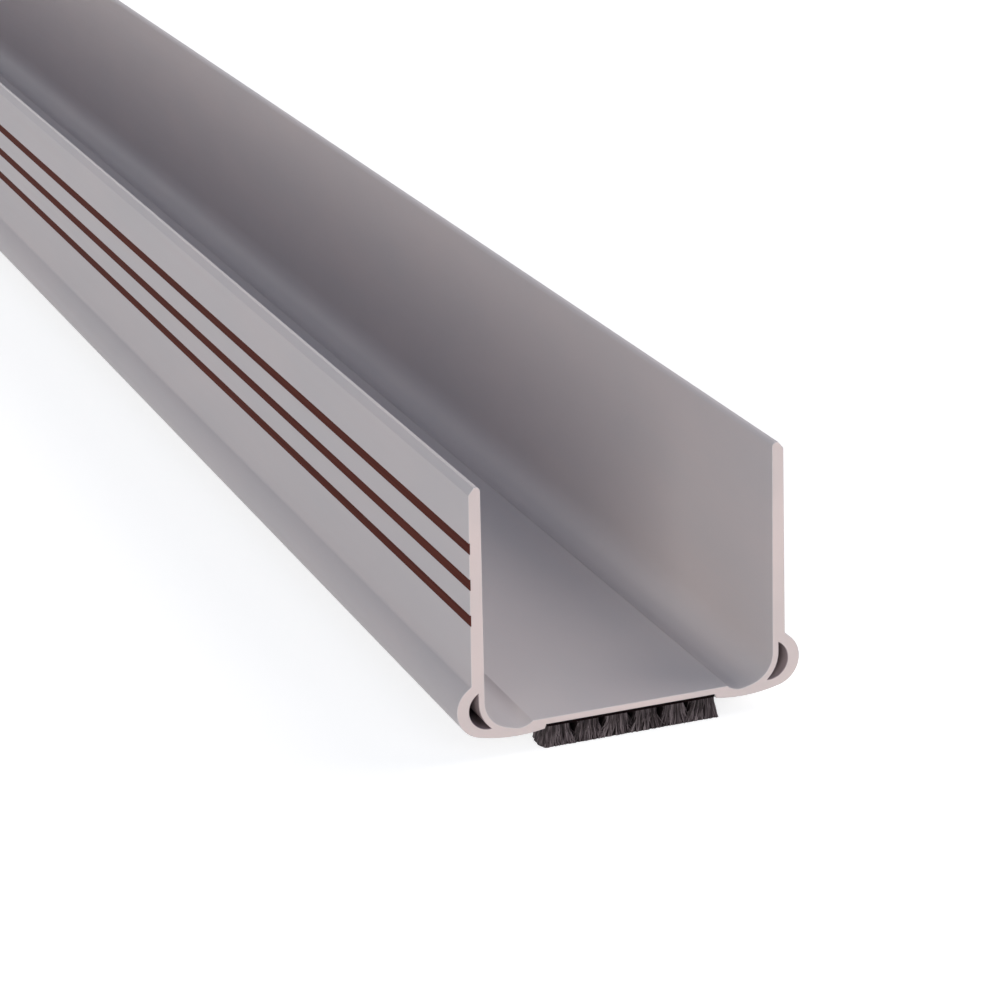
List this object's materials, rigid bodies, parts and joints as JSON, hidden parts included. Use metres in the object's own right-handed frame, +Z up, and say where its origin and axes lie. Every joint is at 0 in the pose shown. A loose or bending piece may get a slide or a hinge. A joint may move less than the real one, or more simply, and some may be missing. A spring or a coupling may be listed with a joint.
{
  "type": "under-door draught stopper",
  "caption": "U-shaped plastic channel that pushes onto the foot of a door leaf, with hollow corner bulbs, dark stripes and a bristle strip that closes the gap to the floor.",
  "frame": {"origin": "middle of the bristle pile's underside, where the pile meets the floor", "axes": "+X across the door leaf, away from the striped flange; +Y along the door; +Z up"},
  "size_m": [0.0478, 1, 0.0367],
  "materials": {
    "channel_plastic": "satin, slightly pink pale grey, right through",
    "stripe_plastic": "satin, dark red-brown",
    "adhesive": "thin dark adhesive layer",
    "backing": "woven, near black",
    "bristles": "dense charcoal bristles, trimmed flat"
  },
  "bodies": {
    "root": {"channel_profile": "channel_plastic", "stripe_upper": "stripe_plastic", "stripe_middle": "stripe_plastic", "stripe_lower": "stripe_plastic", "brush_adhesive": "adhesive", "brush_backing": "backing", "brush_pile": "bristles"}
  },
  "joints": []
}
